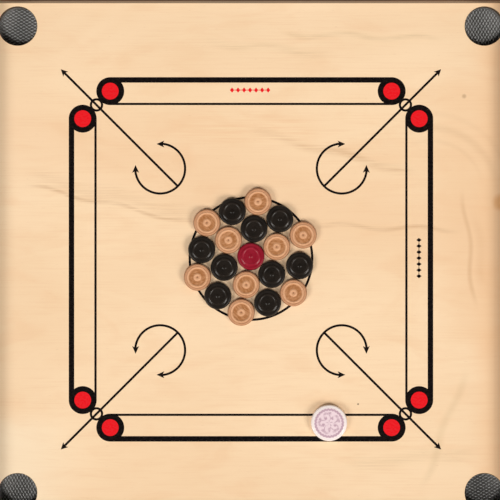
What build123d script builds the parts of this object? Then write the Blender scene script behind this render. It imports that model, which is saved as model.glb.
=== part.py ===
from build123d import *
import os
from math import cos, radians, sin

# A full-size carrom board, set out for the start of a game, with its men and striker.
# The board lies flat on its frame. The origin is the centre of the underside, +Z is up,
# +X is to the right and +Y is away from the player whose striker is on the board.
# All sizes are in millimetres.

# ---- Driving dimensions ----

# Frame: four mitred rails with a rabbet below for the playing panel
play_size = 584.0  # the playing surface, between the rails
rail_width = 38.0
rail_height = 50.0
rail_corner_round = 12.0
rail_edge_round = 3.0
rail_foot_chamfer = 1.5
cushion_height = 19.0  # the wall that the men rebound from
rabbet_width = 12.0

# Keys glued across the mitres
key_length = 22.0  # along the mitre
key_width = 20.0  # across the mitre
key_thickness = 4.0
key_offset = -3.0  # from the middle of the rail's width, along the mitre
key_height = 40.5  # the key's middle above the underside

# Playing panel
panel_thickness = 8.0
panel_gap = 0.5  # between the panel's edge and the rabbet
pocket_radius = 22.0
pocket_place = 266.0  # a pocket's centre from the board's middle, along X and Y
pocket_edge_chamfer = 0.5

# Battens under the panel, half-lapped where they cross
batten_width = 30.0
batten_height = 20.0
batten_place = 100.0
batten_chamfer = 1.5

# Pocket nets, their rim bands and tacks
net_wall = 1.0
net_radius = 24.0  # outside of the cup
net_foot_radius = 23.2
net_foot_round = 6.0
net_clearance = 1.2  # from the cup's bottom to the surface that the board lies on
net_hem_radius = 29.5
band_thickness = 1.5
band_outer_radius = 30.0
band_inner_radius = 24.2
tack_circle = 27.2
tacks_per_pocket = 6
tack_head_radius = 2.6
tack_head_height = 0.8
tack_dome_radius = 1.6  # a point part way down the head's dome
tack_dome_height = 0.6
tack_radius = 0.7
tack_grip = 5.5  # how far a tack goes into the panel

# Countersunk wood screws
screw_radius = 1.75
screw_head_radius = 3.5
screw_head_height = 2.2
screw_recess_width = 0.9
screw_recess_length = 3.8
screw_recess_depth = 1.4
panel_screw_length = 19.0
panel_screw_places = (-190.0, -50.0, 50.0, 190.0)
batten_screw_length = 25.0
batten_screw_places = (-200.0, 0.0, 200.0)

# Men: turned discs, the same on both faces
man_radius = 15.5
man_height = 8.0
man_rim_bulge = 1.5
man_dish_depth = 0.8
man_ring_half_width = 1.9
man_boss_radius = 3.4
man_boss_half_width = 1.6
man_dimple_radius = 1.5
man_dimple_depth = 0.7
man_dimple_edge_depth = 0.25
man_boss_depth = 0.1
plain_ring_radius = 11.0  # the raised ring of a man left in its natural colour
dark_ring_radius = 9.3  # the raised ring of a black man and of the queen
man_gap_below = 0.1  # the film of powder and air under a man at rest

# Striker
striker_radius = 20.65
striker_height = 8.0
striker_rim_bulge = 1.4
striker_step_radius = 17.6
striker_step_depth = 0.25
striker_x = 88.8
striker_y = -185.9

# The opening pattern: rings of six round the queen, pushed together by hand.
# Each man has its distance from the queen, and the angle by which it slipped.
queen_x = -0.2
queen_y = 3.5
pattern_turn = 21.5
inner_ring = ((31.4, -1.1), (31.4, 1.8), (31.5, 2.4), (32.8, 1.0), (32.6, -0.8), (31.5, -2.2))
middle_ring = ((53.8, 0.7), (55.1, 1.0), (56.3, 0.9), (58.5, -1.3), (56.3, -1.6), (56.5, -2.3))
corner_ring = ((64.2, 0.7), (62.8, 1.0), (62.9, 1.0), (65.1, -0.2), (64.5, -1.3), (63.7, -2.1))

same_size = 0.01  # two radii closer than this are the same

# ---- Derived values ----
board_size = play_size + 2 * rail_width
surface_z = rail_height - cushion_height
panel_base_z = surface_z - panel_thickness
panel_middle_z = panel_base_z + panel_thickness / 2
rabbet_size = play_size + 2 * rabbet_width
panel_size = rabbet_size - 2 * panel_gap
lip_middle = play_size / 2 + (rabbet_width - panel_gap) / 2
batten_base_z = panel_base_z - batten_height
band_top_z = panel_base_z - net_wall
band_base_z = band_top_z - band_thickness
tack_length = band_thickness + net_wall + tack_grip
man_z = surface_z + man_gap_below + man_height / 2
striker_z = surface_z + man_gap_below + striker_height / 2

rail_sides = {"right": 0, "back": 90, "left": 180, "front": 270}
corners = {
    "back_right": (1, 1),
    "back_left": (-1, 1),
    "front_left": (-1, -1),
    "front_right": (1, -1),
}


def turned(profile):
    """A solid of revolution about Z from a closed outline in the XZ plane."""
    return revolve(make_face(profile), Axis.Z, 360)


# ---- Fasteners ----


def screw_blank(length):
    """A countersunk screw, head down, with the flat of its head at z = 0."""
    outline = Polyline(
        (0, 0, 0),
        (screw_head_radius, 0, 0),
        (screw_radius, 0, screw_head_height),
        (screw_radius, 0, length - screw_radius),
        (0, 0, length),
        close=True,
    )
    return turned(outline)


def screw(length):
    """The screw with the cross recess in its head."""
    level = Align.MIN
    middle = Align.CENTER
    arm = Box(
        screw_recess_length,
        screw_recess_width,
        screw_recess_depth,
        align=(middle, middle, level),
    )
    return screw_blank(length) - (arm + Rot(0, 0, 90) * arm)


def tack():
    """An upholstery tack, head down, with the top of its head's rim at z = 0."""
    neck = tack_length - 2 * tack_radius
    head = ThreePointArc(
        (0, 0, -tack_head_height),
        (tack_dome_radius, 0, -tack_dome_height),
        (tack_head_radius, 0, 0),
    )
    shank = Polyline(
        (tack_head_radius, 0, 0),
        (tack_radius, 0, 0),
        (tack_radius, 0, neck),
        (0, 0, tack_length),
        (0, 0, -tack_head_height),
    )
    return turned(Curve() + [head, shank])


def panel_screw_spots():
    """Four screws up through the panel into the lip of each rail."""
    spots = []
    for turn in rail_sides.values():
        for along in panel_screw_places:
            spots.append(Rot(0, 0, turn) * Pos(lip_middle, along, panel_base_z))
    return spots


def batten_screw_spots():
    """Three screws up through each batten into the panel."""
    spots = []
    for turn in (0, 90):
        for across in (-batten_place, batten_place):
            for along in batten_screw_places:
                spots.append(Rot(0, 0, turn) * Pos(along, across, batten_base_z))
    return spots


def tack_spots(corner):
    """Six tacks round one pocket, through the band and the net's hem into the panel."""
    side_x, side_y = corners[corner]
    centre = Pos(side_x * pocket_place, side_y * pocket_place, band_base_z)
    step = 360 / tacks_per_pocket
    turns = [step * (n + 0.5) for n in range(tacks_per_pocket)]
    return [centre * Rot(0, 0, turn) * Pos(tack_circle, 0, 0) for turn in turns]


def placed(solid, spots):
    """Copies of one solid at several places, as separate solids."""
    return [spot * solid for spot in spots]


# ---- Frame ----


def corner_key(corner):
    """A flat hardwood key, half in each of the two rails that meet at a mitre."""
    side_x, side_y = corners[corner]
    middle = play_size / 2 + rail_width / 2 + key_offset / 2**0.5
    turn = 45 if side_x * side_y > 0 else -45
    place = Pos(side_x * middle, side_y * middle, key_height) * Rot(0, 0, turn)
    return place * Box(key_length, key_width, key_thickness)


def frame_ring():
    """The whole frame in one: outer block less the play opening and the rabbet below it."""
    plan = fillet(Rectangle(board_size, board_size).vertices(), rail_corner_round)
    ring = extrude(plan, rail_height)
    ring -= Pos(0, 0, surface_z) * extrude(Rectangle(play_size, play_size), rail_height)
    ring -= extrude(Rectangle(rabbet_size, rabbet_size), surface_z)
    ring = fillet(ring.faces().sort_by(Axis.Z)[-1].edges(), rail_edge_round)
    foot = ring.faces().sort_by(Axis.Z)[0].outer_wire().edges()
    return chamfer(foot, rail_foot_chamfer)


def rail(ring, side, keys, screws):
    """One rail: its quarter of the frame, mitred at 45 degrees, slotted and drilled."""
    reach = board_size
    quarter = make_face(Polyline((0, 0), (reach, -reach), (reach, reach), close=True))
    piece = ring & (Rot(0, 0, rail_sides[side]) * extrude(quarter, rail_height))
    for cut in keys + screws:
        piece -= cut
    return piece


# ---- Panel and battens ----


def playing_panel(screws, tacks):
    """The plywood panel with its four pocket holes and the fasteners' holes."""
    panel = Pos(0, 0, panel_middle_z) * Box(panel_size, panel_size, panel_thickness)
    for side_x, side_y in corners.values():
        hole = Cylinder(pocket_radius, panel_thickness)
        panel -= Pos(side_x * pocket_place, side_y * pocket_place, panel_middle_z) * hole
    rims = panel.faces().sort_by(Axis.Z)[-1].edges().filter_by(GeomType.CIRCLE)
    panel = chamfer(rims, pocket_edge_chamfer)
    for cut in screws + tacks:
        panel -= cut
    return panel


def batten(place, across, screws):
    """A batten from rail to rail: along X with laps cut on top, or along Y with laps below."""
    middle_z = batten_base_z + batten_height / 2
    bar = Box(rabbet_size, batten_width, batten_height)
    lower = bar.edges().filter_by(Axis.X).sort_by(Axis.Z)[:2]
    bar = chamfer(lower, batten_chamfer)
    lap = Box(batten_width, batten_width, batten_height / 2)
    lap_side = -1 if across else 1
    for along in (-batten_place, batten_place):
        bar -= Pos(along, 0, lap_side * batten_height / 4) * lap
    turn = 90 if across else 0
    bar = Rot(0, 0, turn) * Pos(0, place, middle_z) * bar
    for cut in screws:
        bar -= cut
    return bar


# ---- Pocket nets ----


def rings_of_radius(cup, radius):
    """The round edges of a cup that have a given radius."""
    circles = cup.edges().filter_by(GeomType.CIRCLE)
    return circles.filter_by(lambda edge: abs(edge.radius - radius) < same_size)


def pocket_net(corner, tacks):
    """The net as a thin cup with a flat hem that lies against the underside of the panel."""
    side_x, side_y = corners[corner]
    inner_radius = net_radius - net_wall
    inner_foot = net_foot_radius - net_wall
    outer = Line((0, 0, net_clearance), (net_foot_radius, 0, net_clearance))
    wall = Line((net_foot_radius, 0, net_clearance), (net_radius, 0, band_top_z))
    hem = Polyline(
        (net_radius, 0, band_top_z),
        (net_hem_radius, 0, band_top_z),
        (net_hem_radius, 0, panel_base_z),
        (inner_radius, 0, panel_base_z),
        (inner_foot, 0, net_clearance + net_wall),
        (0, 0, net_clearance + net_wall),
        (0, 0, net_clearance),
    )
    cup = turned(Curve() + [outer, wall, hem])
    cup = fillet(rings_of_radius(cup, net_foot_radius), net_foot_round)
    cup = fillet(rings_of_radius(cup, inner_foot), net_foot_round - net_wall)
    cup = Pos(side_x * pocket_place, side_y * pocket_place, 0) * cup
    for cut in tacks:
        cup -= cut
    return cup


def rim_band(corner, tacks):
    """The flat band that clamps the net's hem to the panel."""
    side_x, side_y = corners[corner]
    middle_z = band_base_z + band_thickness / 2
    ring = Cylinder(band_outer_radius, band_thickness) - Cylinder(band_inner_radius, band_thickness)
    ring = Pos(side_x * pocket_place, side_y * pocket_place, middle_z) * ring
    for cut in tacks:
        ring -= cut
    return ring


# ---- Men and striker ----


def man(ring_radius):
    """A turned disc: dimple, boss ring, dish, raised ring and a bulging rim, on both faces."""
    half = man_height / 2
    dish = half - man_dish_depth
    shoulder = man_radius - man_rim_bulge
    face = [
        (0, half - man_dimple_depth),
        (man_dimple_radius, half - man_dimple_edge_depth),
        (man_boss_radius, half - man_boss_depth),
        (man_boss_radius + man_boss_half_width, dish),
        (ring_radius - man_ring_half_width, dish),
        (ring_radius, half),
        (shoulder, half - man_dish_depth / 2),
    ]
    rim_z = face[-1][1]
    upper = Polyline([(x, 0, z) for x, z in face])
    rim = ThreePointArc((shoulder, 0, rim_z), (man_radius, 0, 0), (shoulder, 0, -rim_z))
    lower = Polyline([(x, 0, -z) for x, z in reversed(face)])
    axis = Line((0, 0, -face[0][1]), (0, 0, face[0][1]))
    return turned(Curve() + [upper, rim, lower, axis])


def striker():
    """The heavier polished disc: flat faces, a slight step and a bulging rim."""
    half = striker_height / 2
    edge = striker_radius - striker_rim_bulge
    face = [
        (0, half),
        (striker_step_radius, half),
        (striker_step_radius + striker_step_depth, half - striker_step_depth),
        (edge, half - striker_step_depth),
    ]
    rim_z = face[-1][1]
    upper = Polyline([(x, 0, z) for x, z in face])
    rim = ThreePointArc((edge, 0, rim_z), (striker_radius, 0, 0), (edge, 0, -rim_z))
    lower = Polyline([(x, 0, -z) for x, z in reversed(face)])
    axis = Line((0, 0, -half), (0, 0, half))
    disc = turned(Curve() + [upper, rim, lower, axis])
    return Pos(striker_x, striker_y, striker_z) * disc


def ring_places(ring, start):
    """Centres of six men round the queen, 60 degrees apart from the start angle."""
    places = []
    for n, (reach, slip) in enumerate(ring):
        angle = radians(start + 60 * n + slip)
        places.append((queen_x + reach * cos(angle), queen_y + reach * sin(angle)))
    return places


def men():
    """Every man by name: natural and black by turns in the inner ring, then natural
    at the corners of the hexagon and black between them."""
    inner = ring_places(inner_ring, pattern_turn)
    natural = inner[0::2] + ring_places(corner_ring, pattern_turn)
    black = inner[1::2] + ring_places(middle_ring, pattern_turn + 30)
    plain_man = man(plain_ring_radius)
    dark_man = man(dark_ring_radius)
    solids = {"queen_coin": Pos(queen_x, queen_y, man_z) * dark_man}
    for n, (x, y) in enumerate(natural, start=1):
        solids[f"white_coin_{n}"] = Pos(x, y, man_z) * plain_man
    for n, (x, y) in enumerate(black, start=1):
        solids[f"black_coin_{n}"] = Pos(x, y, man_z) * dark_man
    return solids


# ---- The board, piece by piece ----


def board():
    """Every fixed piece of the board by name."""
    solids = {}
    keys = [corner_key(corner) for corner in corners]
    lip_screws = placed(screw_blank(panel_screw_length), panel_screw_spots())
    batten_screws = placed(screw_blank(batten_screw_length), batten_screw_spots())
    tacks = {corner: placed(tack(), tack_spots(corner)) for corner in corners}

    ring = frame_ring()
    for side in rail_sides:
        solids[f"rail_{side}"] = rail(ring, side, keys, lip_screws)
    for corner, key in zip(corners, keys):
        solids[f"mitre_key_{corner}"] = key

    every_tack = [one for group in tacks.values() for one in group]
    solids["playing_panel"] = playing_panel(lip_screws + batten_screws, every_tack)
    for name, place, across in (
        ("batten_front", -batten_place, False),
        ("batten_back", batten_place, False),
        ("batten_left", batten_place, True),
        ("batten_right", -batten_place, True),
    ):
        solids[name] = batten(place, across, batten_screws)
    solids["panel_screws"] = Compound(placed(screw(panel_screw_length), panel_screw_spots()))
    solids["batten_screws"] = Compound(placed(screw(batten_screw_length), batten_screw_spots()))

    for corner in corners:
        solids[f"pocket_net_{corner}"] = pocket_net(corner, tacks[corner])
        solids[f"net_band_{corner}"] = rim_band(corner, tacks[corner])
        solids[f"net_tacks_{corner}"] = Compound(tacks[corner])
    return solids


os.makedirs("parts", exist_ok=True)
pieces = board() | men() | {"striker": striker()}
for node, solid in pieces.items():
    export_step(solid, f"parts/{node}.step")
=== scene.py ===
import bmesh
import bpy
import numpy as np
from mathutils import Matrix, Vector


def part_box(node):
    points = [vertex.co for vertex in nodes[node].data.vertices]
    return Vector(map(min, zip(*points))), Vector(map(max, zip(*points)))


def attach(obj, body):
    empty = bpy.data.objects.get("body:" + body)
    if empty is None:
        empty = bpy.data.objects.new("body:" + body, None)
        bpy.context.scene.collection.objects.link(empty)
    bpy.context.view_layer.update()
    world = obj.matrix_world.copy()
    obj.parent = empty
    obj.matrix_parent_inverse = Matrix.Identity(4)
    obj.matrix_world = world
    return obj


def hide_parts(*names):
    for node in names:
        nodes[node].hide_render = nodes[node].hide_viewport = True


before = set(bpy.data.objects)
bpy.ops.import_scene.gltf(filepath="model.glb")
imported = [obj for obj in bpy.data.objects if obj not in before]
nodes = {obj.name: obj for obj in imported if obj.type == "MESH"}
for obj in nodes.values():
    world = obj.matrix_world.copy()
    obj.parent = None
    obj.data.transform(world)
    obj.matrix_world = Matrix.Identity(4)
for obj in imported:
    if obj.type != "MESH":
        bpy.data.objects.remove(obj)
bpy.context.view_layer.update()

# A carrom board, put together from the outside in: frame, panel, printing, battens,
# nets, then the men and the striker. Lengths are in metres; MM turns a size in millimetres.
MM = 0.001

# ---------------------------------------------------------------------------------------------
# Rails. Four hardwood rails, mitred at the corners, stained dark walnut and finished with a
# satin lacquer. They are planed along the grain, so the grain runs the length of each rail and
# turns at the mitre. The arrises are rubbed through to a lighter brown by hands and sleeves.


class Signal:
    """One number or colour that varies over a surface: an output of a shader node.
    Arithmetic on it adds Math nodes, so a mask is written as a plain formula."""

    def __init__(self, finish, socket):
        self.finish = finish
        self.socket = socket

    def maths(self, operation, first, second=0.0):
        """A Math node on one or two values."""
        sockets = {0: first, 1: second}
        return self.finish.node("ShaderNodeMath", {"operation": operation}, sockets)

    def __add__(self, other):
        return self.maths("ADD", self, other)

    def __radd__(self, other):
        return self.maths("ADD", other, self)

    def __sub__(self, other):
        return self.maths("SUBTRACT", self, other)

    def __rsub__(self, other):
        return self.maths("SUBTRACT", other, self)

    def __mul__(self, other):
        return self.maths("MULTIPLY", self, other)

    def __rmul__(self, other):
        return self.maths("MULTIPLY", other, self)

    def __truediv__(self, other):
        return self.maths("DIVIDE", self, other)

    def __rtruediv__(self, other):
        return self.maths("DIVIDE", other, self)

    def __pow__(self, other):
        return self.maths("POWER", self, other)

    def __abs__(self):
        return self.maths("ABSOLUTE", self)

    def sine(self):
        """The sine of the value, in radians."""
        return self.maths("SINE", self)

    def between(self, low, high):
        """0 below low, 1 above high, with an even S-curve from one to the other."""
        settings = {"interpolation_type": "SMOOTHSTEP"}
        sockets = {"Value": self, "From Min": low, "From Max": high}
        return self.finish.node("ShaderNodeMapRange", settings, sockets)

    def most(self, other):
        """The greater of two values."""
        return self.maths("MAXIMUM", self, other)

    def parts(self):
        """The X, Y and Z of a vector."""
        split = self.finish.node("ShaderNodeSeparateXYZ", {}, {0: self}).socket.node
        return [Signal(self.finish, out) for out in split.outputs]


class Finish:
    """A surface finish: a material, and the nodes that paint it in a piece's coordinates."""

    def __init__(self, name, roughness=0.5, coat=0.0, coat_roughness=0.1, specular=0.5):
        self.material = bpy.data.materials.new(name)
        self.material.use_nodes = True
        self.nodes = self.material.node_tree.nodes
        self.links = self.material.node_tree.links
        self.surface = self.nodes["Principled BSDF"]
        self.put("Roughness", roughness)
        self.put("Coat Weight", coat)
        self.put("Coat Roughness", coat_roughness)
        self.put("Specular IOR Level", specular)

    def node(self, kind, settings, sockets, output=0):
        """Adds a node: its settings first, then the value or link of each named socket."""
        made = self.nodes.new(kind)
        for name, value in settings.items():
            setattr(made, name, value)
        for name, value in sockets.items():
            socket = made.inputs[name]
            if isinstance(value, Signal):
                self.links.new(value.socket, socket)
            else:
                socket.default_value = value
        return Signal(self, made.outputs[output])

    def put(self, name, value):
        """Sets a socket of the surface shader to a value or a link."""
        socket = self.surface.inputs[name]
        if isinstance(value, Signal):
            self.links.new(value.socket, socket)
        elif isinstance(value, tuple) and len(value) == 3 and socket.type == "RGBA":
            socket.default_value = (*value, 1.0)
        else:
            socket.default_value = value

    def place(self):
        """The point's place in the object's own coordinates, in metres."""
        return self.node("ShaderNodeTexCoord", {}, {}, "Object")

    def attribute(self, name, output="Vector"):
        """A value stored on the piece's own mesh."""
        return self.node("ShaderNodeAttribute", {"attribute_name": name}, {}, output)

    def stretched(self, vector, scale, turn=0.0, shift=(0.0, 0.0, 0.0)):
        """The vector turned about Z and moved, then scaled along each axis."""
        sockets = {"Vector": vector, "Rotation": (0.0, 0.0, turn), "Location": shift}
        laid = self.node("ShaderNodeMapping", {}, sockets)
        return self.node("ShaderNodeVectorMath", {"operation": "MULTIPLY"}, {0: laid, 1: scale})

    def noise(self, vector, detail, roughness=0.55, distortion=0.0):
        """Soft clouds from 0 to 1, about one cloud for each unit of the vector."""
        sockets = {
            "Vector": vector,
            "Scale": 1.0,
            "Detail": detail,
            "Roughness": roughness,
            "Distortion": distortion,
        }
        return self.node("ShaderNodeTexNoise", {}, sockets)

    def mix(self, factor, first, second):
        """From the first colour to the second as the factor goes from 0 to 1."""
        sockets = {0: factor}
        for index, colour in ((6, first), (7, second)):
            sockets[index] = colour if isinstance(colour, Signal) else (*colour, 1.0)
        return self.node("ShaderNodeMix", {"data_type": "RGBA"}, sockets, 2)

    def relief(self, height, depth):
        """Raises the surface by depth, in metres, where height is 1."""
        sockets = {"Height": height, "Strength": 1.0, "Distance": depth}
        self.put("Normal", self.node("ShaderNodeBump", {}, sockets))

    def dress(self, *pieces):
        """Makes this finish the only one on each piece."""
        for piece in pieces:
            piece.data.materials.clear()
            piece.data.materials.append(self.material)


def walnut_rail(name, turn):
    """Dark stained grain along X, or along Y with a quarter turn. Long thin streaks in three
    sizes, open pores as short dark dashes, and arrises paler where the stain is rubbed."""
    wood = Finish(name, coat=0.35, coat_roughness=0.24)
    place = wood.place()
    broad = wood.noise(wood.stretched(place, (2.2, 38.0, 38.0), turn), detail=3.0, distortion=0.6)
    fine = wood.noise(wood.stretched(place, (9.0, 330.0, 330.0), turn), detail=3.0)
    pores = wood.noise(wood.stretched(place, (60.0, 1100.0, 1100.0), turn), detail=1.0)
    bands = ((broad * 46.0).sine() * 0.5 + 0.5) * 0.35 + fine * 0.65
    colour = wood.mix(bands.between(0.25, 0.8), (0.024, 0.0095, 0.0050), (0.092, 0.038, 0.0160))
    colour = wood.mix(pores.between(0.62, 0.72) * 0.6, colour, (0.006, 0.003, 0.002))
    ways = [abs(way) for way in wood.node("ShaderNodeNewGeometry", {}, {}, "Normal").parts()]
    arris = 1.0 - ways[0].most(ways[1]).most(ways[2]).between(0.80, 0.98)
    wood.put("Base Color", wood.mix(arris * broad * 0.7, colour, (0.150, 0.070, 0.034)))
    wood.put("Roughness", fine.between(0.3, 0.8) * 0.18 + 0.42)
    wood.relief(fine * 0.6 + pores * 0.4, 0.12 * MM)
    return wood


QUARTER = np.pi / 2
walnut_rail("walnut_along_x", 0.0).dress(nodes["rail_front"], nodes["rail_back"])
walnut_rail("walnut_along_y", QUARTER).dress(nodes["rail_left"], nodes["rail_right"])

# ---------------------------------------------------------------------------------------------
# Mitre keys. Thin slips of planed beech, one glued into a slot across each mitre, where both
# rails hide it.

CORNERS = {
    "back_right": (1, 1),
    "back_left": (-1, 1),
    "front_left": (-1, -1),
    "front_right": (1, -1),
}

beech = Finish("planed_beech", roughness=0.6)
beech_flecks = beech.noise(beech.stretched(beech.place(), (90.0, 500.0, 90.0)), detail=3.0)
beech.put("Base Color", beech.mix(beech_flecks, (0.42, 0.25, 0.13), (0.62, 0.42, 0.25)))
beech.relief(beech_flecks, 0.08 * MM)
beech.dress(*[nodes[f"mitre_key_{corner}"] for corner in CORNERS])

# ---------------------------------------------------------------------------------------------
# Playing panel. Birch-faced plywood, pocket holes cut with a hole saw, faces sanded very fine
# and clear lacquered. The face veneer is peeled from the log, so its figure is a wide, faint
# contour map along X, with a few mineral streaks, and a darker amber band along the right rail
# is painted shade. The plies show as dark brown stripes in the holes and at the edge.

panel_low, panel_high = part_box("playing_panel")
SURFACE_Z = panel_high.z
PANEL_BASE_Z = panel_low.z
PLY_COUNT = 7


def streak(along, across, start, end, middle, slope, width):
    """A soft streak in the veneer, from start to end one way and near middle the other: a bell
    curve across a line that slopes and sways like a slow wave."""
    sway = (along * (2 * np.pi / 0.085)).sine() * 0.0025
    off = abs(across - (along * slope + middle + sway)) / width
    fade = 0.03
    ends = along.between(start, start + fade) * (1.0 - along.between(end - fade, end))
    return (1.0 - off.between(0.0, 1.0)) * ends


def growth_arc(x, y, centre_x, centre_y, radius, width):
    """Where the peeled veneer skims a knot: part of a ring, up and to the right of a centre."""
    right = x - centre_x
    up = y - centre_y
    off = abs((right * right + up * up) ** 0.5 - radius) / width
    return (1.0 - off.between(0.0, 1.0)) * up.between(0.0, 0.05) * right.between(-0.04, 0.0)


BROWN_FIGURE = (0.500, 0.270, 0.120)
OLIVE_FIGURE = (0.560, 0.400, 0.210)
WARM_FIGURE = (0.880, 0.560, 0.320)
# The tint of the painted shade along the right rail, where the rail's shadow falls.
RIGHT_RAIL_SHADE = (0.840, 0.460, 0.220)
PALE_FIGURE = (1.000, 0.860, 0.640)
FIGURE = (  # way it runs, start, end, middle, slope, width, depth, tint
    ("across the grain", -0.110, 0.220, 0.248, -0.05, 0.0500, 0.60, WARM_FIGURE),
    ("with the grain", -0.262, -0.055, 0.026, -0.23, 0.0040, 0.55, BROWN_FIGURE),
    ("with the grain", -0.262, -0.055, 0.036, -0.23, 0.0160, 0.22, BROWN_FIGURE),
    ("with the grain", 0.065, 0.245, 0.0415, -0.035, 0.0045, 0.45, BROWN_FIGURE),
    ("with the grain", -0.010, 0.195, 0.147, -0.263, 0.0085, 0.40, BROWN_FIGURE),
    ("with the grain", 0.030, 0.225, 0.258, -0.030, 0.0050, 0.40, OLIVE_FIGURE),
    ("with the grain", -0.060, 0.100, 0.243, -0.100, 0.0080, 0.25, OLIVE_FIGURE),
    ("with the grain", 0.100, 0.262, -0.245, 0.100, 0.0120, 0.25, OLIVE_FIGURE),
    ("across the grain", -0.060, 0.085, 0.250, -0.100, 0.0045, 0.45, BROWN_FIGURE),
    ("across the grain", -0.045, 0.060, 0.262, -0.120, 0.0090, 0.20, BROWN_FIGURE),
    ("across the grain", -0.268, -0.120, 0.291, 0.366, 0.0080, 0.30, OLIVE_FIGURE),
    # Painted shade: a darker amber band the whole length of the right rail, where its shadow falls.
    ("across the grain", -0.320, 0.320, 0.293, 0.0, 0.0500, 0.90, RIGHT_RAIL_SHADE),
    ("with the grain", -0.100, 0.090, 0.148, 0.0, 0.0300, 0.60, WARM_FIGURE),
    ("across the grain", -0.330, -0.170, -0.275, 0.0, 0.1000, 0.80, PALE_FIGURE),
)
KNOT_PLACE = (0.205, 0.075)
KNOT_ARCS = ((0.075, 0.0075, 0.28), (0.060, 0.0045, 0.16), (0.091, 0.0055, 0.12))
SPECKS = (  # x, y, radius, depth, tint
    (0.1221, -0.1650, 0.0014, 0.90, (0.090, 0.045, 0.020)),
    (0.2430, 0.1860, 0.0035, 0.40, (0.300, 0.170, 0.080)),
    (0.2850, 0.0650, 0.0130, 0.55, (0.660, 0.270, 0.060)),
)


def birch_face():
    """Peeled birch under clear lacquer: clouds, contours and fibres along X, then the streaks,
    arcs and specks laid on one by one, among them a band of painted shade along the right rail.
    Upright faces show the plies as dark brown stripes, and the underside is bare."""
    wood = Finish("lacquered_birch", coat=0.2, coat_roughness=0.2, specular=0.3)
    place = wood.place()
    x, y, z = place.parts()
    level = (z - PANEL_BASE_Z) / (SURFACE_Z - PANEL_BASE_Z)
    cloud = wood.noise(wood.stretched(place, (3.0, 5.0, 1.0)), detail=2.0)
    swell = wood.noise(wood.stretched(place, (1.6, 7.5, 1.0)), detail=3.0, distortion=0.9)
    contour = (swell * 95.0).sine() * 0.5 + 0.5
    fibre = wood.noise(wood.stretched(place, (14.0, 520.0, 1.0)), detail=4.0, roughness=0.7)
    fleck = wood.noise(wood.stretched(place, (120.0, 900.0, 1.0)), detail=1.0)
    colour = wood.mix(cloud.between(0.3, 0.7), (0.925, 0.672, 0.430), (0.975, 0.735, 0.490))
    colour = wood.mix(contour * fibre.between(0.3, 0.7) * 0.25, colour, (0.860, 0.570, 0.335))
    colour = wood.mix(fibre.between(0.5, 0.8) * 0.22, colour, (0.800, 0.500, 0.290))
    colour = wood.mix(fleck.between(0.70, 0.80) * 0.25, colour, (0.62, 0.36, 0.19))
    wisps = wood.noise(wood.stretched(place, (9.0, 26.0, 1.0)), detail=4.0, distortion=1.1)
    colour = wood.mix(wisps.between(0.48, 0.72) * 0.32, colour, (0.860, 0.545, 0.315))
    warmth = streak(x, y, -0.30, 0.30, 0.085, -0.22, 0.075)
    colour = wood.mix(warmth * 0.22, colour, (0.860, 0.530, 0.310))
    for way, start, end, middle, slope, width, depth, tint in FIGURE:
        along, across = (x, y) if way == "with the grain" else (y, x)
        broken = fibre.between(0.25, 0.75) if way == "with the grain" else cloud * 0.6 + 0.3
        line = streak(along, across, start, end, middle, slope, width)
        colour = wood.mix(line * broken * depth, colour, tint)
    for radius, width, depth in KNOT_ARCS:
        arc_line = growth_arc(x, y, KNOT_PLACE[0], KNOT_PLACE[1], radius, width)
        colour = wood.mix(arc_line * (fibre * 0.5 + 0.3) * depth, colour, BROWN_FIGURE)
    for speck_x, speck_y, radius, depth, tint in SPECKS:
        off = ((x - speck_x) ** 2.0 + (y - speck_y) ** 2.0) ** 0.5
        colour = wood.mix((1.0 - off.between(radius * 0.3, radius)) * depth, colour, tint)
    facing = abs(wood.node("ShaderNodeNewGeometry", {}, {}, "Normal").parts()[2])
    cut = 1.0 - facing.between(0.75, 0.9)
    ply = (level * (np.pi * PLY_COUNT)).sine()
    # Upright and sloping faces, the pocket walls and chamfers among them, are coloured very dark
    # brown, with the plies as stripes.
    plies = wood.mix(abs(ply).between(0.1, 0.5), (0.030, 0.018, 0.010), (0.120, 0.075, 0.042))
    below = 1.0 - level.between(0.2, 0.4)
    raw = wood.mix(fibre.between(0.3, 0.7), (0.55, 0.36, 0.20), (0.68, 0.48, 0.29))
    colour = wood.mix(below * (1.0 - cut), colour, raw)
    wood.put("Base Color", wood.mix(cut, colour, plies))
    wood.put("Coat Weight", level.between(0.5, 0.9) * 0.2)
    wood.put("Roughness", 0.62 - level.between(0.5, 0.9) * 0.22 + fibre * 0.06)
    wood.relief(fibre * 0.5 + fleck * 0.2, 0.02 * MM)
    return wood


birch_face().dress(nodes["playing_panel"])

# ---------------------------------------------------------------------------------------------
# Printing. Black and red ink screened on the panel before the last coat of lacquer. Each line
# is a film of ink a few hundredths of a millimetre thick, and the layers of ink step up in the
# order they were printed, so that they cross without a gap.

BASE_CIRCLE_FAR = 191.8 * MM  # a base circle's centre, measured square to its base line
BASE_CIRCLE_ALONG = 160.4 * MM
BASE_CIRCLE_RADIUS = 15.9 * MM
RED_DISC_RADIUS = 9.6 * MM
THICK_LINE_WIDTH = 6.2 * MM
THIN_LINE_WIDTH = 2.6 * MM
FOUL_CIRCLE_PLACE = 176.1 * MM
FOUL_CIRCLE_RADIUS = 6.35 * MM
ARROW_TIP_PLACE = 216.8 * MM
ARROW_TAIL_PLACE = 84.2 * MM
ARROW_HEAD_LENGTH = 8.0 * MM
ARROW_HEAD_WIDTH = 8.0 * MM
CURL_PLACE = 103.5 * MM
CURL_RADIUS = 28.4 * MM
CURL_GAP = 73.0  # degrees left open towards the pocket
CURL_HEAD_LENGTH = 9.0 * MM
CENTRE_CIRCLE_RADIUS = 69.8 * MM
CENTRE_LINE_WIDTH = 2.7 * MM
QUEEN_CIRCLE_RADIUS = 12.4 * MM
CENTRE_PLACE = (0.0, 0.001)
INK_STEP = 0.012 * MM
INK_OVERLAP = 0.15 * MM  # red ink runs this far under the black
MEETING_GAP = 0.001 * MM


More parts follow.
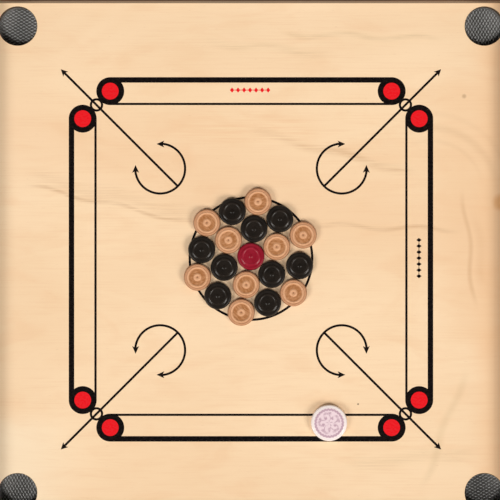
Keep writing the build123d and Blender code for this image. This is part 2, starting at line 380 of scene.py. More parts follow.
def film(left, right, layer, closed=False):
    """A flat film of ink between two edges. Each station along the edges gives four corners,
    left and right, at the top and on the panel; the film joins each station to the next, and
    its ends are capped or, on a closed ring, joined. Returns its points and faces."""
    count = len(left)
    top = SURFACE_Z + INK_STEP * layer
    corners = np.zeros((count, 4, 3))
    corners[:, 0, :2] = left
    corners[:, 1, :2] = right
    corners[:, 2, :2] = right
    corners[:, 3, :2] = left
    corners[:, :2, 2] = top
    corners[:, 2:, 2] = SURFACE_Z
    station = np.arange(count if closed else count - 1)
    follow = (station + 1) % count
    quads = []
    for side in range(4):
        next_side = (side + 1) % 4
        here = station * 4
        there = follow * 4
        around = (here + side, there + side, there + next_side, here + next_side)
        quads.append(np.stack(around, axis=1))
    faces = np.concatenate(quads)
    if not closed:
        last = (count - 1) * 4
        caps = np.array([[0, 1, 2, 3], [last + 3, last + 2, last + 1, last]])
        faces = np.concatenate([faces, caps])
    return corners.reshape(-1, 3), faces


def straight(start, end, width, layer):
    """A straight line of ink from start to end."""
    start = np.array(start)
    end = np.array(end)
    way = (end - start) / np.linalg.norm(end - start)
    side = np.array([-way[1], way[0]]) * width / 2
    spine = np.array([start, end])
    return film(spine + side, spine - side, layer)


def arc(centre, radius, width, layer, start=0.0, sweep=360.0):
    """A ring of ink, or the part of one from start through sweep degrees, anticlockwise."""
    whole = sweep >= 360.0
    count = max(24, int(sweep / 3))
    angle = np.radians(start + np.linspace(0.0, sweep, count, endpoint=not whole))
    ray = np.stack([np.cos(angle), np.sin(angle)], axis=1)
    inner = np.array(centre) + ray * (radius - width / 2)
    outer = np.array(centre) + ray * (radius + width / 2)
    return film(inner, outer, layer, closed=whole)


def lens(centre, way, length, width, layer, power, count):
    """A symmetrical spot along a direction: its half-width is half of width times
    (1 - |t| ** power) ** (1 / power), where t runs from -1 to 1 along its length. A power of 2
    is an ellipse or disc, 1 is a lozenge."""
    way = np.array(way) / np.linalg.norm(way)
    side = np.array([-way[1], way[0]])
    t = np.linspace(-1, 1, count)
    if power == 2:
        t = np.sin(t * QUARTER)
    half = width / 2 * np.maximum(1 - np.abs(t) ** power, 0) ** (1 / power)
    spine = np.array(centre) + np.outer(t * length / 2, way)
    return film(spine + np.outer(half, side), spine - np.outer(half, side), layer)


def disc(centre, radius, layer):
    """A round spot."""
    return lens(centre, (1.0, 0.0), 2 * radius, 2 * radius, layer, 2, 48)


def barb(tip, way, length, width, layer):
    """An arrowhead: it widens evenly from its tip and is notched a quarter of its length."""
    way = np.array(way) / np.linalg.norm(way)
    side = np.array([-way[1], way[0]])
    tip = np.array(tip)
    back = tip - way * length
    notch = back + way * length / 4
    left = np.array([tip, (tip + back) / 2 + side * width / 4, back + side * width / 2])
    middle = np.array([tip, (tip + notch) / 2, notch])
    right = np.array([tip, (tip + back) / 2 - side * width / 4, back - side * width / 2])
    return [film(left, middle, layer), film(middle, right, layer)]


def printed(name, films, finish):
    """Joins films of one ink into a piece that rides on the board, merges the points that
    meet at their tips, and faces it outwards."""
    points = np.concatenate([f[0] for f in films])
    starts = np.cumsum([0] + [len(f[0]) for f in films[:-1]])
    faces = np.concatenate([f[1] + start for f, start in zip(films, starts)])
    mesh = bpy.data.meshes.new(name)
    mesh.from_pydata(points.tolist(), [], faces.tolist())
    shell = bmesh.new()
    shell.from_mesh(mesh)
    bmesh.ops.remove_doubles(shell, verts=shell.verts, dist=MEETING_GAP)
    bmesh.ops.recalc_face_normals(shell, faces=shell.faces)
    shell.to_mesh(mesh)
    shell.free()
    mesh.polygons.foreach_set("use_smooth", [False] * len(mesh.polygons))
    piece = bpy.data.objects.new(name, mesh)
    bpy.context.scene.collection.objects.link(piece)
    finish.dress(piece)
    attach(piece, "board")


def ink(name, colour, worn):
    """Screen ink under lacquer: nearly flat, with pinholes and a mottle where it is worn."""
    paint = Finish(name, specular=0.2)
    place = paint.place()
    mottle = paint.noise(paint.stretched(place, (260.0, 420.0, 1.0)), detail=3.0)
    holes = paint.noise(paint.stretched(place, (900.0, 2600.0, 1.0)), detail=2.0)
    shade = paint.mix(mottle.between(0.35, 0.75), colour, worn)
    paint.put("Base Color", paint.mix(holes.between(0.72, 0.82) * 0.08, shade, (0.55, 0.33, 0.18)))
    paint.put("Roughness", mottle * 0.15 + 0.20)
    return paint


black_ink = ink("black_ink", (0.0040, 0.0030, 0.0030), (0.0120, 0.0080, 0.0070))
red_ink = ink("red_ink", (0.840, 0.0110, 0.0180), (0.770, 0.0180, 0.0230))

base_lines = []
base_circles = []
red_discs = []
for quarter in range(4):
    cosine = round(np.cos(quarter * QUARTER))
    sine = round(np.sin(quarter * QUARTER))
    turn = np.array([[cosine, -sine], [sine, cosine]])
    thick = BASE_CIRCLE_FAR + BASE_CIRCLE_RADIUS - THICK_LINE_WIDTH / 2
    thin = BASE_CIRCLE_FAR - BASE_CIRCLE_RADIUS + THIN_LINE_WIDTH / 2
    for far, width in ((thick, THICK_LINE_WIDTH), (thin, THIN_LINE_WIDTH)):
        ends = [turn @ np.array([far, along]) for along in (-BASE_CIRCLE_ALONG, BASE_CIRCLE_ALONG)]
        base_lines.append(straight(ends[0], ends[1], width, 3))
    for along in (-BASE_CIRCLE_ALONG, BASE_CIRCLE_ALONG):
        centre = turn @ np.array([BASE_CIRCLE_FAR, along])
        ring_width = BASE_CIRCLE_RADIUS - RED_DISC_RADIUS
        base_circles.append(arc(centre, BASE_CIRCLE_RADIUS - ring_width / 2, ring_width, 4))
        red_discs.append(disc(centre, RED_DISC_RADIUS + INK_OVERLAP, 2))
printed("printed_base_lines", base_lines, black_ink)
printed("printed_base_circles", base_circles, black_ink)
printed("printed_red_discs", red_discs, red_ink)

corner_arrows = []
for side_x, side_y in CORNERS.values():
    out = np.array([side_x, side_y], float)
    way = out / np.linalg.norm(out)
    corner_arrows.append(arc(out * FOUL_CIRCLE_PLACE, FOUL_CIRCLE_RADIUS, THIN_LINE_WIDTH, 5))
    tip = out * ARROW_TIP_PLACE
    tail = out * ARROW_TAIL_PLACE
    corner_arrows.append(straight(tail, tip - way * ARROW_HEAD_LENGTH / 2, THIN_LINE_WIDTH, 2))
    corner_arrows += barb(tip, way, ARROW_HEAD_LENGTH, ARROW_HEAD_WIDTH, 3)
    open_way = np.degrees(np.arctan2(side_y, side_x))
    start = open_way + CURL_GAP / 2
    sweep = 360.0 - CURL_GAP
    trim = np.degrees(CURL_HEAD_LENGTH / 2 / CURL_RADIUS)
    curl_centre = out * CURL_PLACE
    curl = arc(curl_centre, CURL_RADIUS, THIN_LINE_WIDTH, 2, start + trim, sweep - 2 * trim)
    corner_arrows.append(curl)
    for end, spin in ((start, -1), (start + sweep, 1)):
        angle = np.radians(end)
        ray = np.array([np.cos(angle), np.sin(angle)])
        lean = np.radians(end - spin * trim)
        along = np.array([-np.sin(lean), np.cos(lean)]) * spin
        head_tip = curl_centre + ray * CURL_RADIUS
        corner_arrows += barb(head_tip, along, CURL_HEAD_LENGTH, ARROW_HEAD_WIDTH, 3)
printed("printed_corner_arrows", corner_arrows, black_ink)

centre_films = [arc(CENTRE_PLACE, CENTRE_CIRCLE_RADIUS, CENTRE_LINE_WIDTH, 2)]
centre_films.append(arc(CENTRE_PLACE, QUEEN_CIRCLE_RADIUS, THIN_LINE_WIDTH, 2))
printed("printed_centre_circles", centre_films, black_ink)
queen_spot = disc(CENTRE_PLACE, QUEEN_CIRCLE_RADIUS - THIN_LINE_WIDTH, 1)
printed("printed_queen_spot", [queen_spot], red_ink)

# Two short borders of lozenges and dots, one red and one black, between the base lines.
BORDER_LENGTH = 48.0 * MM
BORDER_HEIGHT = 6.0 * MM
BORDER_COUNT = 7
BORDER_FILL = 0.72  # a lozenge's length, as a share of the step to the next
BORDER_DOT_RADIUS = 0.7 * MM


def border(centre, way):
    """Lozenges in a row with a dot between each pair."""
    films = []
    step = BORDER_LENGTH / BORDER_COUNT
    way = np.array(way)
    for n in range(BORDER_COUNT):
        offset = (n - (BORDER_COUNT - 1) / 2) * step
        spot = np.array(centre) + way * offset
        films.append(lens(spot, way, step * BORDER_FILL, BORDER_HEIGHT, 2, 1, 3))
        if n < BORDER_COUNT - 1:
            films.append(disc(spot + way * step / 2, BORDER_DOT_RADIUS, 2))
    return films


printed("printed_border_red", border((-0.001, 0.193), (1.0, 0.0)), red_ink)
printed("printed_border_black", border((0.1915, 0.0015), (0.0, 1.0)), black_ink)

# ---------------------------------------------------------------------------------------------
# Battens. Sawn softwood bars under the panel, half-lapped where they cross and screwed up into
# it. They are left bare, with open grain along each bar and a trace of the saw across it.


def bare_pine(name, turn):
    """Pale grain along X, or along Y with a quarter turn: wide rings, thin fibres and the
    saw's marks across them."""
    wood = Finish(name, roughness=0.75)
    place = wood.place()
    swell = wood.noise(wood.stretched(place, (2.0, 26.0, 26.0), turn), detail=2.0, distortion=0.5)
    rings = ((swell * 60.0).sine() * 0.5 + 0.5) ** 2.0
    fibre = wood.noise(wood.stretched(place, (18.0, 700.0, 700.0), turn), detail=3.0)
    saw = wood.noise(wood.stretched(place, (420.0, 12.0, 12.0), turn), detail=1.0)
    colour = wood.mix(rings, (0.62, 0.42, 0.22), (0.44, 0.23, 0.095))
    colour = wood.mix(fibre.between(0.4, 0.8) * 0.4, colour, (0.30, 0.16, 0.07))
    wood.put("Base Color", colour)
    wood.relief(fibre * 0.6 + saw * 0.4, 0.2 * MM)
    return wood


bare_pine("pine_along_x", 0.0).dress(nodes["batten_front"], nodes["batten_back"])
bare_pine("pine_along_y", QUARTER).dress(nodes["batten_left"], nodes["batten_right"])

# ---------------------------------------------------------------------------------------------
# Screws. Countersunk steel wood screws with a cross recess, zinc plated and driven flush from
# below: sixteen hold the panel to the rails, and twelve the battens to the panel.

zinc = Finish("zinc_plate", roughness=0.34)
zinc_bloom = zinc.noise(zinc.stretched(zinc.place(), (400.0, 400.0, 400.0)), detail=3.0)
zinc.put("Metallic", 1.0)
zinc.put("Base Color", zinc.mix(zinc_bloom, (0.50, 0.49, 0.44), (0.74, 0.72, 0.66)))
zinc.put("Roughness", zinc_bloom * 0.25 + 0.25)
zinc.dress(nodes["panel_screws"], nodes["batten_screws"])

# ---------------------------------------------------------------------------------------------
# Pocket nets. Each is a round cut from black knotless nylon netting, drawn down into a cup and
# clamped at its hem under the panel. Its floor is stretched flat, so the diamond mesh shows
# evenly through the pocket; up the wall the mesh closes as the round is gathered in.

NET_CORD_SPACING = 1.9 * MM
NET_ROW_HEIGHT = 3.2 * MM
NET_SWING = 0.55  # how far a cord swings, as a share of the way to its neighbour's line
NET_CORD_WIDTH = 1.12 * MM
NET_CORD_DEPTH = 0.8 * MM
NET_CORD_SIDES = 6
NET_BEND_RADIUS = 4.0 * MM
NET_WALL_RADIUS = 23.4 * MM
NET_HEM_RADIUS = 23.6 * MM  # past this the netting lies flat under the panel
NET_ROUND_RADIUS = 46.0 * MM
NET_TURNS = {"back_right": 1.0, "back_left": 87.0, "front_left": -2.0, "front_right": 93.0}


def cup_place(flat_x, flat_y, lift, corner):
    """Where a point of the flat round of netting goes on the cup. Within the floor's radius it
    stays; past it the distance from the middle is spent on a quarter-circle bend, then up the
    wall, then outwards along the hem. Lift moves it off the netting's middle, inwards."""
    low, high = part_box(f"pocket_net_{corner}")
    middle_x, middle_y = (low.x + high.x) / 2, (low.y + high.y) / 2
    floor_z = low.z + 0.6 * MM
    hem_z = high.z - 0.5 * MM
    floor = NET_WALL_RADIUS - NET_BEND_RADIUS
    bend_length = NET_BEND_RADIUS * QUARTER
    wall_length = hem_z - floor_z - NET_BEND_RADIUS
    reach = np.hypot(flat_x, flat_y)
    turn = np.clip((reach - floor) / NET_BEND_RADIUS, 0.0, QUARTER)
    rise = np.clip(reach - floor - bend_length, 0.0, wall_length)
    spread = np.maximum(reach - floor - bend_length - wall_length, 0.0)
    out = np.minimum(reach, floor) + NET_BEND_RADIUS * np.sin(turn) + spread
    height = floor_z + NET_BEND_RADIUS * (1.0 - np.cos(turn)) + rise
    on_hem = spread > 0
    out = out - lift * np.where(on_hem, 0.0, np.sin(turn))
    height = height + lift * np.where(on_hem, -1.0, np.cos(turn))
    ray_x = flat_x / np.maximum(reach, 1e-9)
    ray_y = flat_y / np.maximum(reach, 1e-9)
    return np.stack([middle_x + ray_x * out, middle_y + ray_y * out, height], axis=-1)


def net_cords(corner):
    """The netting's cords as waves: cord k swings to each side of its own line, and where it
    swings one way its neighbour swings the other, so that they meet, lock and part again."""
    turn = np.radians(NET_TURNS[corner])
    half_count = int(NET_ROUND_RADIUS / NET_CORD_SPACING) + 2
    rows = int(NET_ROUND_RADIUS / NET_ROW_HEIGHT) + 2
    steps = 6
    t = np.arange(-rows * steps, rows * steps + 1) / steps
    runs = []
    for k in range(-half_count, half_count + 1):
        swing = NET_SWING * (-1) ** k * np.sin(np.pi * (t + 0.5))
        flat_x = (k + 0.5 * swing) * NET_CORD_SPACING
        flat_y = t * NET_ROW_HEIGHT
        weave = 0.15 * NET_CORD_DEPTH * np.sin(np.pi * t) * (-1) ** k
        inside = np.hypot(flat_x, flat_y) < NET_ROUND_RADIUS
        if inside.sum() < steps:
            continue
        x = flat_x[inside] * np.cos(turn) - flat_y[inside] * np.sin(turn)
        y = flat_x[inside] * np.sin(turn) + flat_y[inside] * np.cos(turn)
        runs.append(cup_place(x, y, weave[inside], corner))
    return runs


def cup_normal(path, corner):
    """The way that faces into the cup from each point of a path on it: up from the floor,
    towards the middle from the wall, with the bend's lean between them."""
    low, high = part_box(f"pocket_net_{corner}")
    middle = np.array([(low.x + high.x) / 2, (low.y + high.y) / 2])
    ray = path[:, :2] - middle
    reach = np.linalg.norm(ray, axis=1)
    floor = NET_WALL_RADIUS - NET_BEND_RADIUS
    lean = np.clip((reach - floor) / NET_BEND_RADIUS, 0.0, 1.0)
    on_hem = reach > NET_HEM_RADIUS
    lean = np.where(on_hem, 0.0, lean)
    inwards = -ray / np.maximum(reach, 1e-9)[:, None] * lean[:, None]
    return np.concatenate([inwards, np.sqrt(1 - lean**2)[:, None]], axis=1)


def flat_cord(path, normal, width, depth, sides):
    """A closed cord along a path: at each point an ellipse square to the path's direction,
    its short way along the normal. Its two ends are closed with a face each."""
    way = np.gradient(path, axis=0)
    way /= np.linalg.norm(way, axis=1)[:, None]
    side = np.cross(normal, way)
    side /= np.linalg.norm(side, axis=1)[:, None]
    over = np.cross(way, side)
    angle = np.linspace(0.0, 2 * np.pi, sides, endpoint=False)
    across = side[:, None, :] * np.cos(angle)[None, :, None] * width / 2
    through = over[:, None, :] * np.sin(angle)[None, :, None] * depth / 2
    points = (path[:, None, :] + across + through).reshape(-1, 3)
    count = len(path)
    i, j = np.meshgrid(np.arange(count - 1), np.arange(sides), indexing="ij")
    here = i * sides + j
    beside = i * sides + (j + 1) % sides
    quads = np.stack([here, beside, beside + sides, here + sides], axis=-1).reshape(-1, 4)
    ends = np.arange(sides)
    last = (count - 1) * sides
    return points, quads, ends[::-1], last + ends


def netting(corner, finish):
    """All the cords of one net as one piece."""
    points = []
    faces = []
    start = 0
    for path in net_cords(corner):
        normal = cup_normal(path, corner)
        cord = flat_cord(path, normal, NET_CORD_WIDTH, NET_CORD_DEPTH, NET_CORD_SIDES)
        cord_points, quads, first, last = cord
        points.append(cord_points)
        faces += (quads + start).tolist()
        faces.append((first + start).tolist())
        faces.append((last + start).tolist())
        start += len(cord_points)
    name = f"netting_{corner}"
    mesh = bpy.data.meshes.new(name)
    mesh.from_pydata(np.concatenate(points).tolist(), [], faces)
    mesh.polygons.foreach_set("use_smooth", [True] * len(mesh.polygons))
    net = bpy.data.objects.new(name, mesh)
    bpy.context.scene.collection.objects.link(net)
    finish.dress(net)
    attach(net, "board")
    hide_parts(f"pocket_net_{corner}")


nylon = Finish("black_nylon", roughness=0.55)
nylon_ply = nylon.noise(nylon.stretched(nylon.place(), (1500.0, 1500.0, 1500.0)), detail=2.0)
nylon.put("Base Color", nylon.mix(nylon_ply, (0.088, 0.083, 0.079), (0.230, 0.219, 0.208)))
nylon.put("Sheen Weight", 0.3)
nylon.relief(nylon_ply, 0.1 * MM)
for corner in CORNERS:
    netting(corner, nylon)

# ---------------------------------------------------------------------------------------------
# Rim bands and tacks. A ring of woven tape covers each net's hem, and six blued upholstery
# tacks go through tape and hem into the panel.


def tape(corner):
    """Woven tape in rings round the pocket: ribs across it, and darker at both edges."""
    low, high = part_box(f"net_band_{corner}")
    centre = ((low.x + high.x) / 2, (low.y + high.y) / 2, 0.0)
    cloth = Finish(f"woven_tape_{corner}", roughness=0.85)
    shift = tuple(-c for c in centre)
    x, y, _ = cloth.stretched(cloth.place(), (1.0, 1.0, 1.0), shift=shift).parts()
    reach = (x * x + y * y) ** 0.5
    angle = cloth.node("ShaderNodeMath", {"operation": "ARCTAN2"}, {0: y, 1: x})
    ribs = (angle * 150.0).sine() * 0.5 + 0.5
    threads = (reach * (2 * np.pi / (0.9 * MM))).sine() * 0.5 + 0.5
    weave = ribs * threads
    cloth.put("Base Color", cloth.mix(weave, (0.010, 0.010, 0.012), (0.055, 0.055, 0.062)))
    cloth.relief(weave, 0.15 * MM)
    return cloth


blued = Finish("blued_steel", roughness=0.35)
blued.put("Metallic", 1.0)
blued_bloom = blued.noise(blued.stretched(blued.place(), (700.0, 700.0, 700.0)), detail=3.0)
blued.put("Base Color", blued.mix(blued_bloom, (0.035, 0.040, 0.055), (0.110, 0.115, 0.130)))
blued.put("Roughness", blued_bloom * 0.3 + 0.2)
for corner in CORNERS:
    tape(corner).dress(nodes[f"net_band_{corner}"])
    blued.dress(nodes[f"net_tacks_{corner}"])

# ---------------------------------------------------------------------------------------------
# Men. Discs turned from hardwood, the same on both faces: a boss, a dished band, a raised ring
# and a bulging rim. Nine are waxed and keep their natural colour, with a dimple in the boss.
# Nine are lacquered black and the queen is lacquered dark red, with a small nub for a boss.

MAN_SEGMENTS = 96
MAN_SEED = 41


def lathe_points(profile, centre, segments):
    """A profile of (radius, height) turned about a vertical axis: rings of points at the
    profile's radii, and one point on the axis at the start and the end."""
    angle = np.linspace(0.0, 2 * np.pi, segments, endpoint=False)
    radius, height = profile[1:-1, 0], profile[1:-1, 1]
    x = np.outer(radius, np.cos(angle))
    y = np.outer(radius, np.sin(angle))
    z = np.outer(height, np.ones(segments))
    rings = np.stack([x, y, z], axis=-1).reshape(-1, 3)
    poles = np.array([[0.0, 0.0, profile[0, 1]], [0.0, 0.0, profile[-1, 1]]])
    return np.concatenate([rings, poles]) + np.array(centre)


def lathe_faces(rings, segments):
    """Quads between neighbouring rings and a fan of triangles at each pole."""
    i, j = np.meshgrid(np.arange(rings - 1), np.arange(segments), indexing="ij")
    here = i * segments + j
    beside = i * segments + (j + 1) % segments
    quads = np.stack([here, here + segments, beside + segments, beside], axis=-1).reshape(-1, 4)
    first = np.arange(segments)
    first_next = (first + 1) % segments
    last = (rings - 1) * segments
    top = np.stack([np.full(segments, rings * segments), first, first_next], axis=1)
    end = np.full(segments, rings * segments + 1)
    bottom = np.stack([end, last + first_next, last + first], axis=1)
    return quads.tolist() + top.tolist() + bottom.tolist()


def turned_piece(name, node, profile, finish, grain_turn, grain_shift):
    """A turned piece in place of its CAD node. Its points keep two sets of coordinates of
    their own: the blank it was cut from, for the grain, and the lathe's, for the turning."""
    low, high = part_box(node)
    centre = (np.array(low) + np.array(high)) / 2
    points = lathe_points(profile, centre, MAN_SEGMENTS)
    mesh = bpy.data.meshes.new(name)
    mesh.from_pydata(points.tolist(), [], lathe_faces(len(profile) - 2, MAN_SEGMENTS))
    mesh.polygons.foreach_set("use_smooth", [True] * len(mesh.polygons))
    own = points - centre
    cosine, sine = np.cos(grain_turn), np.sin(grain_turn)
    x, y, z = own.T
    blank = np.stack([x * cosine - y * sine, x * sine + y * cosine, z], axis=1)
    blank += grain_shift
    turning = np.stack([np.hypot(x, y), z, np.full(len(own), grain_turn)], axis=1)
    for label, values in (("blank", blank), ("turning", turning)):
        stored = mesh.attributes.new(label, "FLOAT_VECTOR", "POINT")
        stored.data.foreach_set("vector", values.astype(np.float32).ravel())
    piece = bpy.data.objects.new(name, mesh)
    bpy.context.scene.collection.objects.link(piece)
    finish.dress(piece)
    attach(piece, node)
    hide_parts(node)


def smooth_step(t):
    """0 to 1 as t goes from 0 to 1, level at both ends."""
    t = np.clip(t, 0.0, 1.0)
    return t * t * (3 - 2 * t)


PLAIN_FACE = (  # (radius, depth below the face) of each crest and hollow, in millimetres
    (0.0, 0.80),
    (3.1, 0.10),
    (5.0, 0.80),
    (9.0, 0.90),
    (10.7, 0.0),
    (11.4, 0.0),
    (12.3, 0.55),
    (13.3, 0.25),
)
DARK_FACE = (
    (0.0, 0.05),
    (0.9, 0.08),
    (2.9, 0.60),
    (8.0, 0.45),
    (9.1, 0.0),
    (9.6, 0.0),
    (11.6, 0.80),
    (13.4, 0.72),
)
CURVE_STEPS = 8
RIM_STEPS = 10
RIM_FULLNESS = 0.85  # under 1 fills out the ellipse of the rim


def turned_profile(face, node):
    """Neighbouring crests and hollows of the face joined by S-curves, then a rim that is part
    of a full ellipse. The lower half is the upper one in a mirror."""
    low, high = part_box(node)
    radius = (high.x - low.x) / 2
    half = (high.z - low.z) / 2
    r = [np.zeros(1)]
    z = [np.array([half - face[0][1] * MM])]
    for (r_from, depth_from), (r_to, depth_to) in zip(face, face[1:]):
        t = np.linspace(0.0, 1.0, CURVE_STEPS)[1:]
        r.append((r_from + (r_to - r_from) * t) * MM)
        z.append(half - (depth_from + (depth_to - depth_from) * smooth_step(t)) * MM)
    angle = np.linspace(QUARTER, 0.0, RIM_STEPS)[1:]
    edge = face[-1][0] * MM
    r.append(edge + (radius - edge) * np.cos(angle))
    z.append((half - face[-1][1] * MM) * np.sin(angle) ** RIM_FULLNESS)
    upper = np.stack([np.concatenate(r), np.concatenate(z)], axis=1)
    lower = upper[:-1][::-1] * np.array([1.0, -1.0])
    return np.concatenate([upper, lower])


def waxed_wood():
    """Warm turned wood: grain across the disc, tool marks in rings, a darker dish where wax and
    dust gather, a darker rim that is partly dust and partly painted shade, paler crests on the
    raised ring and the boss that are a painted highlight, and a slightly different blank for
    each man."""
    wood = Finish("waxed_wood", specular=0.35)
    blank = wood.attribute("blank")
    reach = wood.attribute("turning").parts()[0]
    fibre = wood.noise(wood.stretched(blank, (60.0, 900.0, 200.0)), detail=3.0)
    swell = wood.noise(wood.stretched(blank, (18.0, 90.0, 60.0)), detail=2.0, distortion=0.7)
    blotch = wood.noise(wood.stretched(blank, (110.0, 110.0, 60.0)), detail=2.0)
    grain = ((swell * 40.0).sine() * 0.5 + 0.5) * 0.3 + fibre * 0.7
    marks = (reach * (2 * np.pi / (0.35 * MM))).sine() * 0.5 + 0.5
    colour = wood.mix(grain.between(0.2, 0.85), (0.60, 0.290, 0.140), (0.74, 0.395, 0.215))
    band = reach.between(11.8 * MM, 13.4 * MM)
    colour = wood.mix(band * 0.55, colour, (0.45, 0.215, 0.110))
    dish = reach.between(4.2 * MM, 5.0 * MM) * (1.0 - reach.between(9.0 * MM, 10.2 * MM))
    streaks = wood.noise(wood.stretched(blank, (240.0, 620.0, 60.0)), detail=3.0)
    stain = blotch * 0.5 + streaks.between(0.2, 0.65) * 0.65
    colour = wood.mix(dish * stain, colour, (0.35, 0.130, 0.034))
    # Painted highlight: the crests of the raised ring and the boss are painted paler, broken up by
    # the streaks.
    ring = 1.0 - abs(reach - 11.0 * MM).between(0.3 * MM, 1.6 * MM)
    boss = 1.0 - abs(reach - 2.9 * MM).between(0.4 * MM, 1.2 * MM)
    colour = wood.mix(ring.most(boss) * (streaks * 0.4 + 0.05), colour, (0.88, 0.54, 0.32))
    groove = 1.0 - abs(reach - 12.3 * MM).between(0.2 * MM, 0.5 * MM)
    dot = 1.0 - reach.between(0.6 * MM, 1.4 * MM)
    colour = wood.mix((groove * 0.35).most(dot * 0.8), colour, (0.26, 0.105, 0.050))
    # Darker towards the rim's edge: partly dust, partly painted shade where the rim turns down
    # between the men.
    colour = wood.mix(reach.between(14.2 * MM, 15.3 * MM) * 0.60, colour, (0.22, 0.085, 0.035))
    wood.put("Base Color", colour)
    wood.put("Roughness", fibre * 0.2 + 0.42)
    wood.relief(marks * 0.5 + fibre * 0.5, 0.05 * MM)
    return wood


def lacquered(name, deep, pale):
    """Coloured lacquer over turned wood: glossy, with faint tool marks under it, thinner and
    paler on the raised ring and scuffed on the rim."""
    paint = Finish(name, specular=0.25)
    blank = paint.attribute("blank")
    reach = paint.attribute("turning").parts()[0]
    cloud = paint.noise(paint.stretched(blank, (90.0, 90.0, 90.0)), detail=3.0)
    scuffs = paint.noise(paint.stretched(blank, (500.0, 2600.0, 500.0)), detail=3.0)
    marks = (reach * (2 * np.pi / (0.4 * MM))).sine() * 0.5 + 0.5
    ring = 1.0 - abs(reach - 9.2 * MM).between(0.5 * MM, 1.6 * MM)
    paint.put("Base Color", paint.mix(cloud.between(0.3, 0.7) * 0.5 + ring * 0.5, deep, pale))
    rim = reach.between(11.2 * MM, 12.2 * MM)
    dish = reach.between(2.0 * MM, 3.0 * MM) * (1.0 - reach.between(8.6 * MM, 9.2 * MM))
    paint.put("Roughness", scuffs.between(0.4, 0.8) * 0.08 + rim * 0.14 + dish * 0.06 + 0.21)
    paint.relief(marks * 0.3 + scuffs * 0.7, 0.008 * MM)
    return paint


blank_draws = np.random.default_rng(MAN_SEED)


def men_of(men, face, finish):
    """Men of one colour, each from its own place in the wood."""
    profile = turned_profile(face, "queen_coin")
    for node in men:
        grain_turn = blank_draws.uniform(0, np.pi)
        grain_shift = blank_draws.uniform(-1, 1, 3)
        turned_piece(f"turned_{node}", node, profile, finish, grain_turn, grain_shift)


black_lacquer = lacquered("black_lacquer", (0.0105, 0.0082, 0.0064), (0.0240, 0.0180, 0.0140))
red_lacquer = lacquered("red_lacquer", (0.250, 0.0060, 0.0180), (0.330, 0.0180, 0.0380))
men_of([f"white_coin_{n}" for n in range(1, 10)], PLAIN_FACE, waxed_wood())
men_of([f"black_coin_{n}" for n in range(1, 10)], DARK_FACE, black_lacquer)
men_of(["queen_coin"], DARK_FACE, red_lacquer)

# ---------------------------------------------------------------------------------------------
# Striker. A heavier disc of cream resin, turned and buffed, with a pale mauve rosette printed
# on both faces: a broken ring near the rim and petals inside it.


STRIKER_FACE = ((0.0, 0.0), (17.4, 0.0), (17.9, 0.25), (19.0, 0.28))


def printed_resin():
    """Cream resin with a rosette: masks in the distance from the middle and the angle."""
    resin = Finish("cream_resin", roughness=0.28, coat=0.5, coat_roughness=0.06)
    blank = resin.attribute("blank")
    x, y, _ = blank.parts()
    reach, height, _ = resin.attribute("turning").parts()
    angle = resin.node("ShaderNodeMath", {"operation": "ARCTAN2"}, {0: y, 1: x})
    cloud = resin.noise(resin.stretched(blank, (160.0, 160.0, 160.0)), detail=3.0)
    cream = resin.mix(cloud, (0.93, 0.82, 0.79), (0.98, 0.89, 0.87))
    speck = resin.noise(resin.stretched(blank, (260.0, 260.0, 260.0)), detail=3.0)
    ring_reach = (angle * 28.0).sine() * 0.35 * MM + 15.4 * MM
    ring = 1.0 - abs(reach - ring_reach).between(0.8 * MM, 1.6 * MM)
    petal_edge = abs((angle * 2.5).sine()) * 7.4 * MM + 4.4 * MM
    petals = 1.0 - abs(reach - petal_edge).between(0.5 * MM, 2.2 * MM)
    leaves = ((angle * 5.0).sine() * (reach * (2 * np.pi / (9.0 * MM))).sine()).between(0.05, 0.6)
    inside = 1.0 - reach.between(12.0 * MM, 13.0 * MM)
    face = abs(height).between(3.6 * MM, 3.7 * MM)
    worn = speck.between(0.30, 0.62)
    wash = (1.0 - reach.between(16.6 * MM, 17.2 * MM)) * face * 0.8
    cream = resin.mix(wash, cream, (0.88, 0.68, 0.75))
    drawn = ring * 0.85
    drawn = drawn.most(petals * worn * 0.8).most(leaves * inside * worn * 0.9)
    print_mask = drawn * face
    colour = resin.mix(print_mask * 0.85, cream, (0.45, 0.26, 0.35))
    resin.put("Base Color", colour)
    resin.put("Roughness", cloud * 0.1 + 0.22)
    resin.relief(cloud, 0.01 * MM)
    return resin


striker_profile = turned_profile(STRIKER_FACE, "striker")
resin_finish = printed_resin()
turned_piece("turned_striker", "striker", striker_profile, resin_finish, 0.0, 0.0)

# ---------------------------------------------------------------------------------------------
# Studio. A sheet of pale paper lies under the board and curves up far away all round. Soft lamps
# stand in front on both sides, a steep one that gives no glare lights the pockets, a weak one is
# under the floor, and the camera looks straight down from two metres.

PAPER_STEPS = ((9.0, -0.0001), (12.0, 0.3), (15.0, 1.2), (18.0, 3.2), (20.0, 6.5))
PAPER_SIDES = 48


def paper_bowl():
    """A bowl turned about Z: flat rings, then rings that rise faster the further out they are."""
    angle = np.linspace(0.0, 2 * np.pi, PAPER_SIDES, endpoint=False)
    steps = np.array(PAPER_STEPS)
    x = np.outer(steps[:, 0], np.cos(angle))
    y = np.outer(steps[:, 0], np.sin(angle))
    z = np.outer(steps[:, 1], np.ones(PAPER_SIDES))
    rings = np.stack([x, y, z], axis=-1).reshape(-1, 3)
    first = np.arange(PAPER_SIDES)
    faces = [first.tolist()]
    for ring in range(len(steps) - 1):
        here = ring * PAPER_SIDES + first
        beside = ring * PAPER_SIDES + (first + 1) % PAPER_SIDES
        faces += np.stack([here, here + PAPER_SIDES, beside + PAPER_SIDES, beside], axis=1).tolist()
    return rings.tolist(), faces


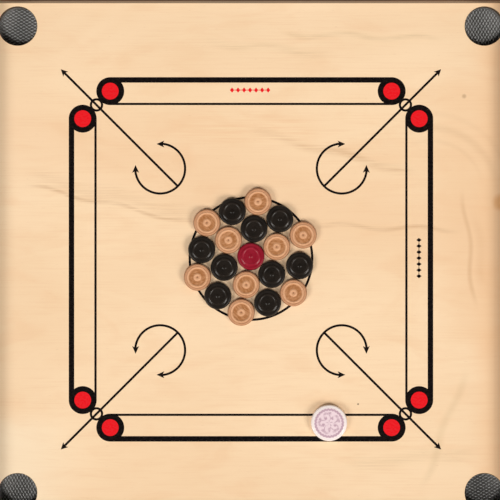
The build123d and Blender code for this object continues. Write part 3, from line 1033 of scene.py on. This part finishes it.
paper_mesh = bpy.data.meshes.new("studio_paper")
paper_points, paper_faces = paper_bowl()
paper_mesh.from_pydata(paper_points, [], paper_faces)
paper_mesh.polygons.foreach_set("use_smooth", [True] * len(paper_mesh.polygons))
paper = bpy.data.objects.new("studio_paper", paper_mesh)
bpy.context.scene.collection.objects.link(paper)
paper_finish = Finish("studio_paper", roughness=0.9)
paper_finish.put("Base Color", (0.80, 0.80, 0.79))
paper_finish.dress(paper)


def lamp(name, bearing, height, spread, strength, colour):
    """A distant soft lamp: its bearing and height in degrees, and the width of sky it fills."""
    light = bpy.data.lights.new(name, "SUN")
    light.energy = strength
    light.angle = np.radians(spread)
    light.color = colour
    lamp_object = bpy.data.objects.new(name, light)
    lamp_object.rotation_euler = (np.radians(90.0 - height), 0.0, np.radians(bearing + 90.0))
    bpy.context.scene.collection.objects.link(lamp_object)
    return lamp_object


lamp("lamp_front_left", 217.0, 43.0, 25.0, 1.40, (1.0, 0.98, 0.95))
lamp("lamp_front_right", 323.0, 40.0, 25.0, 1.74, (1.0, 0.96, 0.91))
lamp_high = lamp("lamp_high", 262.0, 74.0, 11.0, 0.92, (1.0, 0.98, 0.95))
lamp_high.visible_glossy = False
lamp("lamp_below", 90.0, -60.0, 60.0, 0.80, (1.0, 0.98, 0.95))

world = bpy.data.worlds.new("studio_air")
world.use_nodes = True
world.node_tree.nodes["Background"].inputs["Color"].default_value = (1.0, 0.96, 0.90, 1.0)
world.node_tree.nodes["Background"].inputs["Strength"].default_value = 0.05
bpy.context.scene.world = world
bpy.context.scene.view_settings.view_transform = "Standard"

VIEW_WIDTH = 0.570
VIEW_CENTRE = (-0.0011, 0.0107)
CAMERA_HEIGHT = 2.0
SENSOR = 36.0
camera_data = bpy.data.cameras.new("camera")
camera_data.sensor_width = SENSOR
camera_data.lens = SENSOR * CAMERA_HEIGHT / VIEW_WIDTH
camera = bpy.data.objects.new("camera", camera_data)
camera.location = (*VIEW_CENTRE, SURFACE_Z + CAMERA_HEIGHT)
bpy.context.scene.collection.objects.link(camera)
bpy.context.scene.camera = camera
